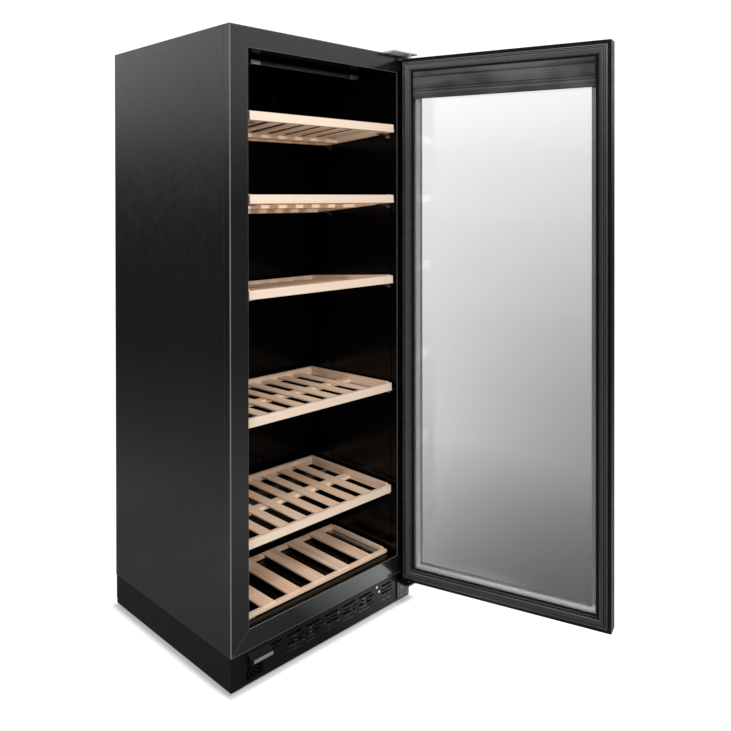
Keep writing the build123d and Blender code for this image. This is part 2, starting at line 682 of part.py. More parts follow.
def compressor():
    """Hermetic compressor: a welded steel shell on a foot plate with rubber-like mounts."""
    shell = rod_z(COMPRESSOR_X, COMPRESSOR_D, COMPRESSOR_LOW, COMPRESSOR_HIGH, COMPRESSOR_R)
    shell = fillet(shell.edges().filter_by(GeomType.CIRCLE), SHELL_ROUND)
    shell -= rod_z(COMPRESSOR_X, COMPRESSOR_D, COMPRESSOR_LOW + 2 * SHELL_WALL,
                   COMPRESSOR_HIGH - 2 * SHELL_WALL, COMPRESSOR_R - SHELL_WALL)
    seam = rod_z(COMPRESSOR_X, COMPRESSOR_D, 118, 122, 77)
    plate = block(COMPRESSOR_X - 85, COMPRESSOR_X + 85, COMPRESSOR_D - 60, COMPRESSOR_D + 60, 34, 40)
    mounts = [rod_z(COMPRESSOR_X + x, COMPRESSOR_D + d, PAN_BOTTOM + PAN, 35, 10)
              for x in (-72, 72) for d in (-46, 46)]
    relay = block(COMPRESSOR_X + 60, COMPRESSOR_X + 105, COMPRESSOR_D - 30, COMPRESSOR_D + 30, 90, 150)
    return shell.fuse(seam, plate, relay, *mounts)


def drip_tray():
    """Open tray over the compressor where the melt water evaporates."""
    tray = block(COMPRESSOR_X - 80, COMPRESSOR_X + 80, COMPRESSOR_D - 75, COMPRESSOR_D + 75, 200, 228)
    return tray - block(COMPRESSOR_X - 78, COMPRESSOR_X + 78, COMPRESSOR_D - 73, COMPRESSOR_D + 73, 202, 240)


def tube_along(points, radius, bend):
    path = FilletPolyline(*[(x, depth(d), z) for x, d, z in points], radius=bend)
    start = Plane(origin=path @ 0, z_dir=path % 0)
    return sweep(start * Circle(radius), path=path)


def refrigerant_tubes():
    """Discharge line to the condenser, liquid line with its drier, and the suction line."""
    x = COOLING_FAN_X
    z = COOLING_FAN_Z
    discharge = tube_along([(COMPRESSOR_X - 74.5, 450, 140), (20, 450, 140), (20, 364, 140),
                            (x + 74.5, 364, z + 45)], 3, 10)
    liquid = tube_along([(x - 74.5, 364, z - 45), (x - 100, 364, z - 45), (x - 100, 520, z - 45),
                         (x - 100, 520, 240)], 3, 10)
    drier = rod_z(x - 100, 520, 110, 190, 10) - rod_z(x - 100, 520, 100, 200, 3)
    return group([discharge, liquid, drier])


def power_inlet():
    """Socket for a detachable mains lead, in the machine-compartment cover."""
    body = block(180, 228, DEPTH - 26, DEPTH + 0.8, 60, 90)
    flange = block(172, 236, DEPTH - SHEET, DEPTH + 1.5, 54, 96)
    cavity = block(190, 218, DEPTH - 18, DEPTH + 5, 66, 84)
    pins = [block(x, x + 2, DEPTH - 19, DEPTH - 4, 71, 79) for x in (196, 203, 210)]
    return (body + flange - cavity) + pins


# ---------------------------------------------------------------- assembly

def add_casing():
    parts["side_panel_left"] = side_panel()
    parts["side_panel_right"] = mirrored(side_panel())
    parts["top_panel"] = top_panel()
    parts["rear_panel"] = rear_panel()
    parts["machine_cover"] = machine_cover()
    members = face_frame()
    for name, member in zip(("left", "right", "top", "sill"), members):
        parts[f"face_frame_{name}"] = member
    parts["inner_liner"] = inner_liner()
    parts["insulation_foam"] = insulation_foam()
    parts["duct_panel"] = duct_panel()


def add_base():
    parts["base_skirt_left"] = base_skirt(34)
    parts["base_skirt_right"] = mirrored(base_skirt(54))
    parts["base_grille"] = base_grille()
    parts["kickplate_insert"] = kickplate_insert()
    parts["latch_hood"] = latch_hood()
    parts["keeper_strip"] = keeper_strip()
    parts["base_pan"] = base_pan()
    parts["floor_panel"] = floor_panel()
    for name, (x, d) in FEET.items():
        parts[name] = foot(x, d)


def add_door():
    closed = {"door_gasket": door_gasket(), "glass_spacers": glass_spacers(),
              "glass_panes": glass_panes(), "header_cover": header_cover(),
              "control_board": control_board(), "door_handle": door_handle(),
              "lock_barrel": lock_barrel(), "hinge_bushes": hinge_bushes()}
    names = ("door_stile_free", "door_stile_hinge", "door_rail_top", "door_rail_bottom")
    closed.update(zip(names, door_ring()))
    for name, shape in closed.items():
        parts[name] = opened(shape)
    parts["hinge_bracket_top"] = hinge_bracket_top()
    parts["hinge_bracket_bottom"] = hinge_bracket_bottom()
    parts["cabinet_screws"] = cabinet_screws()


def add_interior():
    for i, (top, front, long, slope) in enumerate(SHELVES):
        parts[f"shelf_{i + 1}"] = shelf(top, front, long, slope, MIDWAY if i else TOP_SHELF_BAR)
    parts["shelf_6"] = floor_grid()
    parts["shelf_strips"] = shelf_strips()
    parts["shelf_clips"] = shelf_clips()
    parts["light_tube"] = light_tube()
    parts["light_clips"] = light_clips()


def add_cooling():
    parts["evaporator"] = evaporator()
    parts["duct_fan_frame"] = fan_frame(0, DUCT_FAN_Z, DUCT_FRONT + 2.1, 58, 26)
    parts["duct_fan"] = fan(0, DUCT_FAN_Z, DUCT_FRONT + 13, DUCT_FAN_R, 16)
    parts["condenser"] = condenser()
    parts["fan_shroud"] = fan_frame(COOLING_FAN_X, COOLING_FAN_Z, 396, 70, 28)
    parts["condenser_fan"] = fan(COOLING_FAN_X, COOLING_FAN_Z, 408, COOLING_FAN_R, 20)
    parts["compressor"] = compressor()
    parts["drip_tray"] = drip_tray()
    parts["refrigerant_tubes"] = refrigerant_tubes()
    parts["power_inlet"] = power_inlet()


def main():
    add_casing()
    add_base()
    add_door()
    add_interior()
    add_cooling()
    os.makedirs("parts", exist_ok=True)
    for name, shape in parts.items():
        export_step(shape, f"parts/{name}.step")


main()
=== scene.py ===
import json
from math import cos, pi, radians, sin

import bmesh
import bpy
from mathutils import Matrix, Vector

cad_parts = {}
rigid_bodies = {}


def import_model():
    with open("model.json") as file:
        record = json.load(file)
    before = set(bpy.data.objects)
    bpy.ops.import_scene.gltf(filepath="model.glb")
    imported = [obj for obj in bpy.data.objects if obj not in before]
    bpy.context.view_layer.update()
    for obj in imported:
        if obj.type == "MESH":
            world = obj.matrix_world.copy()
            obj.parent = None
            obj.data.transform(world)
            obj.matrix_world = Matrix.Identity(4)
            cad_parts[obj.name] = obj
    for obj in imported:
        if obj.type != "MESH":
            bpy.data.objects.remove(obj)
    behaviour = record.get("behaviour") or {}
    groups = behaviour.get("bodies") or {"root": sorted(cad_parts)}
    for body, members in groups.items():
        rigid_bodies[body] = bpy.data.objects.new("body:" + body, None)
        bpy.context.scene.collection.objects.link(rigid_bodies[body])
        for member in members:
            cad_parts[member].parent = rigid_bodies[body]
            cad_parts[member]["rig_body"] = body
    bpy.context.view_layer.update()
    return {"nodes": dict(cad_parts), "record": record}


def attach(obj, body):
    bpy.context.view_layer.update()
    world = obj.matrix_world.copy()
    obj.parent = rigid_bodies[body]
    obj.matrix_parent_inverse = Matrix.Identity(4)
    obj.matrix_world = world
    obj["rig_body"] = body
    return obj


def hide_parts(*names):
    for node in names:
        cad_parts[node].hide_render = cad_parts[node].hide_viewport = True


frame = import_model()

MM = 0.001
FRONT = -0.288          # Y of the cabinet's front face
HALF = 0.2975           # half the cabinet's width
HINGE_X = 0.272
HINGE_AHEAD = 0.028     # from the front face to the hinge pins
PIVOT = Vector((HINGE_X, FRONT - HINGE_AHEAD, 0.0))
OPEN = radians(106)     # the door's angle at rest
SWING = Matrix.Translation(PIVOT) @ Matrix.Rotation(OPEN, 4, "Z") @ Matrix.Translation(-PIVOT)


# ------------------------------------------------------------------ materials

SHADE_HEIGHT = 1.6         # metres of height over which a painted shade follows height
SHADE_SLOPE = 7.55       # how fast the tinted pane's painted shade deepens along X, towards the free edge, for each metre
SHADE_START = 1.52       # taken off it, so that X = 0.33 has the height's painted shade as given
COLOR_A, COLOR_B, COLOR_OUT = 6, 7, 2   # the Mix node's colour sockets


class Nodes:
    """Short helpers for the nodes of one tree."""

    def __init__(self, tree):
        self.nodes = tree.nodes
        self.links = tree.links

    def add(self, kind, **settings):
        node = self.nodes.new("ShaderNode" + kind)
        for key, value in settings.items():
            setattr(node, key, value)
        return node

    def put(self, socket, value):
        if isinstance(value, bpy.types.NodeSocket):
            self.links.new(value, socket)
        else:
            socket.default_value = value

    def coords(self, stretch=(1, 1, 1), attribute=None):
        mapping = self.add("Mapping")
        mapping.inputs["Scale"].default_value = stretch
        if attribute:
            source = self.add("Attribute", attribute_name=attribute).outputs["Vector"]
        else:
            source = self.add("TexCoord").outputs["Object"]
        self.links.new(source, mapping.inputs["Vector"])
        return mapping.outputs["Vector"]

    def split(self, vector):
        node = self.add("SeparateXYZ")
        self.links.new(vector, node.inputs[0])
        return node.outputs

    def noise(self, vector, scale, detail=3.0, rough=0.55, distortion=0.0):
        node = self.add("TexNoise")
        self.links.new(vector, node.inputs["Vector"])
        for name, number in (("Scale", scale), ("Detail", detail), ("Roughness", rough),
                             ("Distortion", distortion)):
            node.inputs[name].default_value = number
        return node.outputs["Fac"]

    def ramp(self, value, *stops):
        node = self.add("ValToRGB")
        self.links.new(value, node.inputs["Fac"])
        elements = node.color_ramp.elements
        while len(elements) < len(stops):
            elements.new(0.5)
        for element, (at, color) in zip(elements, stops):
            element.position = at
            element.color = (*color, 1)
        return node.outputs["Color"]

    def span(self, value, low, high, start=0.3, stop=0.7):
        """Turns values from start to stop into values from low to high, and holds the ends."""
        node = self.add("MapRange")
        self.links.new(value, node.inputs["Value"])
        for name, number in (("From Min", start), ("From Max", stop), ("To Min", low), ("To Max", high)):
            node.inputs[name].default_value = number
        return node.outputs["Result"]

    def math(self, operation, a, b=0.0, clamp=False):
        node = self.add("Math", operation=operation, use_clamp=clamp)
        self.put(node.inputs[0], a)
        self.put(node.inputs[1], b)
        return node.outputs[0]

    def vector(self, operation, a, b=(0, 0, 0)):
        """One vector operation; a length or a distance comes out as a number."""
        node = self.add("VectorMath", operation=operation)
        self.put(node.inputs[0], a)
        self.put(node.inputs[1], b)
        return node.outputs["Value" if operation in ("LENGTH", "DISTANCE") else "Vector"]

    def mix(self, factor, a, b):
        node = self.add("Mix", data_type="RGBA")
        self.put(node.inputs["Factor"], factor)
        self.put(node.inputs[COLOR_A], a)
        self.put(node.inputs[COLOR_B], b)
        return node.outputs[COLOR_OUT]

    def bump(self, height, distance, strength=1.0):
        node = self.add("Bump")
        node.inputs["Distance"].default_value = distance
        node.inputs["Strength"].default_value = strength
        self.links.new(height, node.inputs["Height"])
        return node.outputs["Normal"]


class Tree(Nodes):
    """A material with a Principled shader."""

    INPUTS = {"color": "Base Color", "metal": "Metallic", "rough": "Roughness", "ior": "IOR",
              "transmission": "Transmission Weight", "specular": "Specular IOR Level", "normal": "Normal"}

    def __init__(self, name):
        self.material = bpy.data.materials.new(name)
        self.material.use_nodes = True
        super().__init__(self.material.node_tree)
        self.shader = self.nodes["Principled BSDF"]

    def set(self, **values):
        for key, value in values.items():
            self.put(self.shader.inputs[self.INPUTS[key]], value)


def scaled(color, factor):
    return tuple(min(1.0, c * factor) for c in color)


def greys(*stops):
    """Stops of a ramp in plain grey, each given as its place and its level."""
    return [(at, (level, level, level)) for at, level in stops]


def finish(name, color, rough, metal=0.0, mottle=0.12, spread=0.05, grain=900.0, height=0.00004,
           specular=0.5):
    """A solid finish: cloudy tone, uneven gloss and a fine grain in relief."""
    tree = Tree(name)
    where = tree.coords()
    cloud = tree.noise(where, 6.0, 4.0)
    patch = tree.noise(where, 38.0, 3.0)
    fine = tree.noise(where, grain, 2.0, 0.6)
    tone = tree.ramp(cloud, (0.3, scaled(color, 1 - mottle)), (0.7, scaled(color, 1 + mottle)))
    tree.set(color=tone, metal=metal, rough=tree.span(patch, rough - spread, rough + spread),
             normal=tree.bump(fine, height), specular=specular)
    return tree.material


def wood():
    """Beech: fine long streaks and pores, a tone of its own for each board, and a painted highlight on the
    front boards, given as a greyer tone.
    """
    tree = Tree("pale_wood")
    where = tree.coords(attribute="grain")
    streak = tree.noise(tree.vector("MULTIPLY", where, (2.2, 70, 70)), 1.0, 5.0, 0.6, 0.25)
    fibre = tree.noise(tree.vector("MULTIPLY", where, (14, 700, 700)), 1.0, 3.0, 0.6)
    ray = tree.noise(tree.vector("MULTIPLY", where, (60, 260, 260)), 1.0, 2.0, 0.5)
    board = tree.add("Attribute", attribute_name="board").outputs["Fac"]
    pale, mid, deep = (0.99, 0.79, 0.61), (0.95, 0.70, 0.51), (0.72, 0.46, 0.30)
    tone = tree.ramp(streak, (0.26, deep), (0.45, mid), (0.66, pale))
    tone = tree.mix(tree.span(fibre, 0.0, 0.30, 0.42, 0.72), tone, (*scaled(deep, 0.8), 1))
    tone = tree.mix(tree.span(ray, 0.0, 0.25, 0.6, 0.75), tone, (*pale, 1))
    tone = tree.mix(tree.math("MULTIPLY", tree.math("FRACT", board), 0.4), tone, (0.84, 0.50, 0.30, 1))
    # painted highlight: front boards (numbers above 1) mix towards a greyer tone for the light that washes
    # out their fronts
    tone = tree.mix(tree.math("MULTIPLY", tree.math("GREATER_THAN", board, 1.0), 0.75), tone,
                    (0.64, 0.53, 0.43, 1))
    tree.set(color=tone, rough=tree.span(fibre, 0.40, 0.54),
             normal=tree.bump(fibre, 0.00005, 0.7))
    return tree.material


def pane(name, tint_and_shade):
    """Glass. The tinted pane carries painted shade: its grey deepens towards the floor and towards the free
    edge, standing in for the darker surroundings seen through it. The clear panes lighten a little with
    height.
    """
    tree = Tree(name)
    place = tree.split(tree.coords())
    cloud = tree.noise(tree.coords(), 2.0, 2.0)
    level = tree.math("ADD", place["Z"], tree.math("MULTIPLY", cloud, 0.03))
    if tint_and_shade:
        # painted shade: the grey darkens towards the floor
        clear = tree.ramp(tree.span(level, 0.0, 1.0, 0.0, SHADE_HEIGHT),
                          *greys((0.10, 0.19), (0.19, 0.275), (0.37, 0.485), (0.55, 0.69), (0.72, 0.83),
                                 (0.88, 0.90)))
        # painted shade: the grey deepens towards the free edge
        shade_towards_free_edge = tree.math("SUBTRACT", tree.math("MULTIPLY", place["X"], SHADE_SLOPE), SHADE_START)
        color = tree.math("POWER", clear, shade_towards_free_edge)
    else:
        color = tree.ramp(level, (0.0, (0.975, 0.985, 0.985)), (1.0, (0.985, 0.99, 0.99)))
    tree.set(color=color, rough=0.0, ior=1.45, transmission=1.0)
    return tree.material


def brushed(name, color, rough, along=(2, 400, 400)):
    """Metal with fine drawn lines."""
    tree = Tree(name)
    lines = tree.noise(tree.coords(along), 1.0, 4.0, 0.7)
    cloud = tree.noise(tree.coords(), 25.0, 2.0)
    tone = tree.ramp(lines, (0.3, scaled(color, 0.86)), (0.7, scaled(color, 1.08)))
    tree.set(color=tone, metal=1.0, rough=tree.span(cloud, rough - 0.05, rough + 0.06),
             normal=tree.bump(lines, 0.00001))
    return tree.material


def streaked(name, dark, light):
    """Black plastic with soft streaks along its length, which lies close to Y on the open door."""
    tree = Tree(name)
    broad = tree.noise(tree.coords((2, 6, 9)), 1.0, 2.0, 0.5)
    fine = tree.noise(tree.coords((3, 4, 300)), 1.0, 2.0, 0.5)
    level = tree.math("MULTIPLY", broad, tree.span(fine, 0.88, 1.08))
    tone = tree.ramp(level, *greys((0.38, dark), (0.62, light)))
    tree.set(color=tone, rough=tree.span(fine, 0.20, 0.34), normal=tree.bump(fine, 0.00002), specular=0.5)
    return tree.material


def spacer_painted_reflection():
    """Silver spacer bar with painted reflection: bright along the bottom and the hinge side, dark along the
    free side.
    """
    tree = Tree("spacer_aluminium")
    place = tree.split(tree.coords())
    lines = tree.noise(tree.coords((60, 60, 60)), 12.0, 3.0)
    # painted reflection: light towards the hinge side, dark towards the free side, and bright along the
    # bottom bar
    hinge_side_reflection = tree.span(place["X"], 0.80, 0.24, 0.29, 0.36)
    low = tree.span(place["Z"], 1.0, 0.0, 0.120, 0.135)
    level = tree.math("MAXIMUM", hinge_side_reflection, tree.math("MULTIPLY", low, tree.span(lines, 0.86, 1.0)))
    tone = tree.ramp(level, (0.0, (0.0, 0.0, 0.0)), (1.0, (0.98, 0.985, 1.0)))
    tree.set(color=tone, metal=0.15, rough=tree.span(lines, 0.30, 0.42), normal=tree.bump(lines, 0.000004))
    return tree.material


def soft_seal():
    """Gasket plastic with a silky surface and painted light: lighter towards the door's top and where it
    faces up.
    """
    tree = Tree("gasket_black")
    cloud = tree.noise(tree.coords(), 9.0, 3.0)
    level = tree.math("ADD", tree.split(tree.coords())["Z"], tree.math("MULTIPLY", cloud, 0.04))
    # painted light: the grey lightens with height, most near the door's top
    tone = tree.ramp(tree.span(level, 0.0, 1.0, 0.0, SHADE_HEIGHT),
                     *greys((0.05, 0.022), (0.25, 0.036), (0.80, 0.044), (0.93, 0.070), (0.97, 0.100)))
    # painted highlight where the surface faces up
    facing = tree.split(tree.add("TexCoord").outputs["Normal"])
    tone = tree.mix(tree.span(facing["Z"], 0.0, 1.0, 0.25, 0.6), tone, (0.11, 0.11, 0.112, 1))
    fine = tree.noise(tree.coords(), 1100.0, 2.0, 0.6)
    tree.set(color=tone, rough=tree.span(cloud, 0.20, 0.30), specular=0.6, normal=tree.bump(fine, 0.00001))
    return tree.material


def foam():
    tree = Tree("foam_cream")
    where = tree.coords()
    cells = tree.add("TexVoronoi")
    cells.inputs["Scale"].default_value = 700.0
    tree.links.new(where, cells.inputs["Vector"])
    tone = tree.ramp(tree.noise(where, 12.0), (0.3, (0.74, 0.66, 0.42)), (0.7, (0.87, 0.80, 0.57)))
    tree.set(color=tone, rough=0.9, normal=tree.bump(cells.outputs["Distance"], 0.0006))
    return tree.material


MATERIALS = {
    "casing_black": finish("casing_black", (0.008, 0.008, 0.0085), 0.22, grain=1300, height=0.00001),
    "frame_black": finish("frame_black", (0.008, 0.008, 0.0082), 0.13, grain=1500, height=0.000006),
    "base_black": finish("base_black", (0.004, 0.004, 0.0042), 0.40, grain=1600, height=0.00006,
                         specular=0.16),
    "liner_black": finish("liner_black", (0.0015, 0.0015, 0.0015), 0.22, grain=300, height=0.00002,
                          specular=0.14),
    "foam_cream": foam(),
    "zinc_sheet": finish("zinc_sheet", (0.50, 0.51, 0.52), 0.45, 1.0, mottle=0.04, spread=0.015, grain=400,
                         height=0.00001),
    "hinge_grey": finish("hinge_grey", (0.62, 0.62, 0.61), 0.45, 0.0, mottle=0.2),
    "bracket_black": finish("bracket_black", (0.010, 0.011, 0.010), 0.36, specular=0.35),
    "screw_steel": brushed("screw_steel", (0.62, 0.62, 0.62), 0.3, (300, 300, 300)),
    "bright_strip": brushed("bright_strip", (0.78, 0.78, 0.80), 0.28),
    "door_black": finish("door_black", (0.006, 0.006, 0.0064), 0.34, grain=1500, height=0.00002,
                         specular=0.10),
    "gasket_black": soft_seal(),
    "pane_glass": pane("pane_glass", False),
    "spacer_aluminium": spacer_painted_reflection(),
    "header_black": streaked("header_black", 0.008, 0.085),
    "board_green": finish("board_green", (0.02, 0.14, 0.05), 0.4, grain=400),
    "handle_black": finish("handle_black", (0.018, 0.018, 0.019), 0.3, 0.4),
    "lock_steel": brushed("lock_steel", (0.7, 0.7, 0.7), 0.2, (200, 200, 200)),
    "bush_white": finish("bush_white", (0.62, 0.62, 0.60), 0.5),
    "shelf_wood": wood(),
    "clip_steel": brushed("clip_steel", (0.50, 0.50, 0.50), 0.3, (200, 200, 200)),
    "lamp_white": finish("lamp_white", (0.020, 0.020, 0.020), 0.30),
    "lamp_clip": brushed("lamp_clip", (0.80, 0.80, 0.80), 0.35, (30, 300, 300)),
    "fin_aluminium": brushed("fin_aluminium", (0.70, 0.71, 0.72), 0.3, (200, 200, 10)),
    "compressor_black": finish("compressor_black", (0.012, 0.012, 0.012), 0.34, grain=500, height=0.0001),
    "fan_black": finish("fan_black", (0.015, 0.015, 0.015), 0.42),
    "tray_grey": finish("tray_grey", (0.30, 0.31, 0.32), 0.5),
    "copper": brushed("copper", (0.72, 0.38, 0.22), 0.28, (90, 90, 90)),
    "foot_black": finish("foot_black", (0.014, 0.014, 0.014), 0.55),
}

# the outer pane's grey tint with its painted shade
TINTED_SHADED_PANE = pane("pane_tint_painted_shade", True)
# painted shade: a darker copy of the frame finish for the right stile, standing in for the dark door it
# reflects
SHADED_STILE = finish("frame_painted_shade", (0.004, 0.004, 0.0041), 0.30, grain=1500, height=0.000006, specular=0.10)
DARK_SCREW = brushed("screw_blackened", (0.10, 0.10, 0.10), 0.35, (300, 300, 300))

# Painted highlights on the rounded edges of a slot's pieces: lighter copies of the slot's finish
EDGES = {
    "frame_black": finish("frame_edge_highlight", (0.14, 0.14, 0.142), 0.22, grain=1500, height=0.00001),
    "casing_black": finish("casing_edge_highlight", (0.030, 0.030, 0.031), 0.25, grain=1500, height=0.00001),
    "door_black": finish("door_edge_highlight", (0.28, 0.28, 0.285), 0.25, grain=1500, height=0.00001),
    "header_black": finish("header_edge_highlight", (0.030, 0.030, 0.031), 0.22, grain=1500, height=0.00001),
}


# ------------------------------------------------------------------ mesh helpers

SLOTS = {s["node"]: s["material_slot"] for s in frame["record"]["subparts"]}
WELD = 0.00002          # vertices closer than this are one
SHARP = radians(25)     # edges sharper than this are rounded
LEAN = 0.15             # a bevel whose normal leans more than this in X and in Z is a mitre's


def point(x, d, z):
    """A point in metres from X, depth behind the front face and height, all in millimetres."""
    return Vector((x * MM, FRONT + d * MM, z * MM))


def piece(name, bm, body, slot, nodes=(), swing=False, smooth=35.0, look=None):
    """Turns a bmesh into a finished object that rides on a body and stands for CAD nodes."""
    bmesh.ops.recalc_face_normals(bm, faces=bm.faces)
    if swing:
        bmesh.ops.transform(bm, matrix=SWING, verts=bm.verts)
    mesh = bpy.data.meshes.new(name)
    bm.to_mesh(mesh)
    bm.free()
    made = bpy.data.objects.new(name, mesh)
    bpy.context.scene.collection.objects.link(made)
    mesh.materials.append(look or MATERIALS[slot])
    # the slot's painted edge highlight, then the dimmer one that mitres take
    if slot in EDGES:
        for edge in (EDGES[slot], EDGES["casing_black"]):
            mesh.materials.append(edge)
    mesh.shade_smooth()
    mesh.set_sharp_from_angle(angle=radians(smooth))
    even = made.modifiers.new("even_normals", "WEIGHTED_NORMAL")
    even.keep_sharp = True
    even.weight = 100
    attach(made, body)
    if nodes:
        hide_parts(*nodes)
    return made


def add_box(bm, x0, x1, d0, d1, z0, z1, bevel=0.0, segments=2):
    made = bmesh.ops.create_cube(bm, size=1.0)["verts"]
    low, high = point(x0, d0, z0), point(x1, d1, z1)
    for v in made:
        v.co = Vector(high[i] if v.co[i] > 0 else low[i] for i in range(3))
    if bevel:
        edges = list({e for v in made for e in v.link_edges})
        bmesh.ops.bevel(bm, geom=edges, offset=bevel * MM, segments=segments, affect="EDGES", profile=0.5)
    return made


def softened(name, node, bevel, look=None):
    """A welded copy of a CAD node, with rounded edges that carry their slot's painted highlight, or a
    dimmer painted highlight on mitres.
    """
    source = frame["nodes"][node]
    slot = SLOTS[node]
    bm = bmesh.new()
    bm.from_mesh(source.data)
    bmesh.ops.remove_doubles(bm, verts=bm.verts, dist=WELD)
    bmesh.ops.dissolve_limit(bm, angle_limit=radians(1.0), verts=bm.verts, edges=bm.edges)
    sharp = [e for e in bm.edges if len(e.link_faces) == 2 and e.calc_face_angle(0) > SHARP]
    rounded = bmesh.ops.bevel(bm, geom=sharp, offset=bevel * MM, segments=2, affect="EDGES",
                              profile=0.5, clamp_overlap=True)
    # painted highlights on the rounded edges, dimmer on mitres
    if slot in EDGES:
        for face in rounded["faces"]:
            face.normal_update()
            mitred = abs(face.normal.x) > LEAN and abs(face.normal.z) > LEAN
            face.material_index = 2 if mitred else 1
    return piece(name, bm, source["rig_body"], slot, (node,), look=look)


# ------------------------------------------------------------------ CAD nodes in their own shape

for node, obj in frame["nodes"].items():
    obj.data.materials.clear()
    obj.data.materials.append(MATERIALS[SLOTS[node]])


# ------------------------------------------------------------------ shelves

# Top edge, front face, length (mm), slope (degrees) and the cross bar's place along each sloping shelf
TOP_SHELF_BAR = 0.86
MIDWAY = 0.5
SHELVES = [(1354.0, 5.5, 294.0, 4.7, TOP_SHELF_BAR), (1156.5, 6.0, 337.0, 5.5, MIDWAY),
           (929.5, 9.0, 359.0, 4.2, MIDWAY), (625.5, 14.0, 357.0, 1.5, MIDWAY),
           (335.5, 17.5, 352.0, 0.0, MIDWAY)]
SHELF_HALF = 240
SIDE_IN = 230           # inner faces of the side boards
BOARD_HIGH = 22
END_BOARD = 11          # thickness of the front and rear boards
SIDE_RAISE = 2          # the sides and the rear stand above the front board by this
SLATS = 7
SLAT_PITCH = 57
SLAT_HALF = 15
SLAT_TOP = 8            # depths of a slat's faces below the shelf's top edge
SLAT_BOTTOM = 12
BAR_HALF = 13
FRAME_ROUND = 1.2

GRID_TOP = 149.5
GRID_RAIL_TOP = 147
GRID_BOTTOM = 138.4
GRID_FRONT = 34
GRID_REAR = 277
GRID_FRONT_RAIL = 14
GRID_REAR_RAIL = 18
GRID_SLATS = 5
GRID_PITCH = 82
GRID_SLAT_HALF = 20
GRID_SLAT = 5
GRID_INSET = 6          # from the grid's front and rear edges to its slats' ends
GRID_REAR_INSET = 4

# Board numbers choose each board's tone and its place in the grain
SHELF_NUMBERS = 20
FIRST_SLAT = 5
BAR_NUMBER = 15
GRAIN_STEP = 0.731
TONE_STEP = 0.618034


def board(bm, number, x0, x1, d0, d1, z0, z1, along, bevel=0.9, pale=0):
    """A wooden board with rounded edges, its grain running along X or along the depth."""
    before = set(bm.verts)
    add_box(bm, x0, x1, d0, d1, z0, z1, bevel)
    grain = bm.verts.layers.float_vector["grain"]
    tone = bm.verts.layers.float["board"]
    shift = number * GRAIN_STEP
    for v in set(bm.verts) - before:
        x, y, z = v.co
        u, w = (x, y) if along == "x" else (y, x)
        v[grain] = (u + shift, w + shift * 3.1, z + shift * 1.7)
        # pale lifts a front board's number above 1, which gives it the painted highlight tone
        v[tone] = number * TONE_STEP % 1.0 + pale


def wooden(number):
    """An empty mesh for wood, and the number of its first board."""
    bm = bmesh.new()
    bm.verts.layers.float_vector.new("grain")
    bm.verts.layers.float.new("board")
    return bm, number * SHELF_NUMBERS


def sloping_shelf(index, top, front, long, slope, bar_at):
    """Four framing boards, thin slats and a cross bar under them, tilted about the front top edge."""
    bm, first = wooden(index)
    rear, bottom, raised = front + long, top - BOARD_HIGH, top + SIDE_RAISE
    start, stop = front + END_BOARD, rear - END_BOARD
    # the front board takes the painted highlight tone
    board(bm, first, -SHELF_HALF, SHELF_HALF, front, start, bottom, top, "x", FRAME_ROUND, 1)
    board(bm, first + 1, -SHELF_HALF, SHELF_HALF, stop, rear, bottom, raised, "x", FRAME_ROUND)
    board(bm, first + 2, -SHELF_HALF, -SIDE_IN, start, stop, bottom, raised, "d", FRAME_ROUND)
    board(bm, first + 3, SIDE_IN, SHELF_HALF, start, stop, bottom, raised, "d", FRAME_ROUND)
    for i in range(SLATS):
        x = (i - SLATS // 2) * SLAT_PITCH
        board(bm, first + FIRST_SLAT + i, x - SLAT_HALF, x + SLAT_HALF, start, stop,
              top - SLAT_BOTTOM, top - SLAT_TOP, "d")
    middle = start + (stop - start) * bar_at
    board(bm, first + BAR_NUMBER, -SIDE_IN, SIDE_IN, middle - BAR_HALF, middle + BAR_HALF, bottom,
          top - SLAT_BOTTOM, "x")
    edge = Matrix.Translation(point(0, front, top))
    tilt = edge @ Matrix.Rotation(radians(-slope), 4, "X") @ edge.inverted()
    bmesh.ops.transform(bm, matrix=tilt, verts=bm.verts)
    name = f"shelf_{index}"
    piece(f"{name}_boards", bm, name, "shelf_wood", (name,))


def floor_grid():
    """Two rails, two side boards and wide slats let into the rails."""
    bm, first = wooden(len(SHELVES) + 1)
    start, stop = GRID_FRONT + GRID_FRONT_RAIL, GRID_REAR - GRID_REAR_RAIL
    board(bm, first, -SHELF_HALF, SHELF_HALF, GRID_FRONT, start, GRID_BOTTOM, GRID_RAIL_TOP, "x")
    board(bm, first + 1, -SHELF_HALF, SHELF_HALF, stop, GRID_REAR, GRID_BOTTOM, GRID_RAIL_TOP, "x")
    board(bm, first + 2, -SHELF_HALF, -SIDE_IN, start, stop, GRID_BOTTOM, GRID_TOP, "d")
    board(bm, first + 3, SIDE_IN, SHELF_HALF, start, stop, GRID_BOTTOM, GRID_TOP, "d")
    for i in range(GRID_SLATS):
        x = (i - GRID_SLATS // 2) * GRID_PITCH
        board(bm, first + FIRST_SLAT + i, x - GRID_SLAT_HALF, x + GRID_SLAT_HALF,
              GRID_FRONT + GRID_INSET, GRID_REAR - GRID_REAR_INSET, GRID_TOP - GRID_SLAT, GRID_TOP, "d")
    piece("shelf_6_boards", bm, "shelf_6", "shelf_wood", ("shelf_6",))


for index, numbers in enumerate(SHELVES):
    sloping_shelf(index + 1, *numbers)
floor_grid()


# ------------------------------------------------------------------ casing, base and door

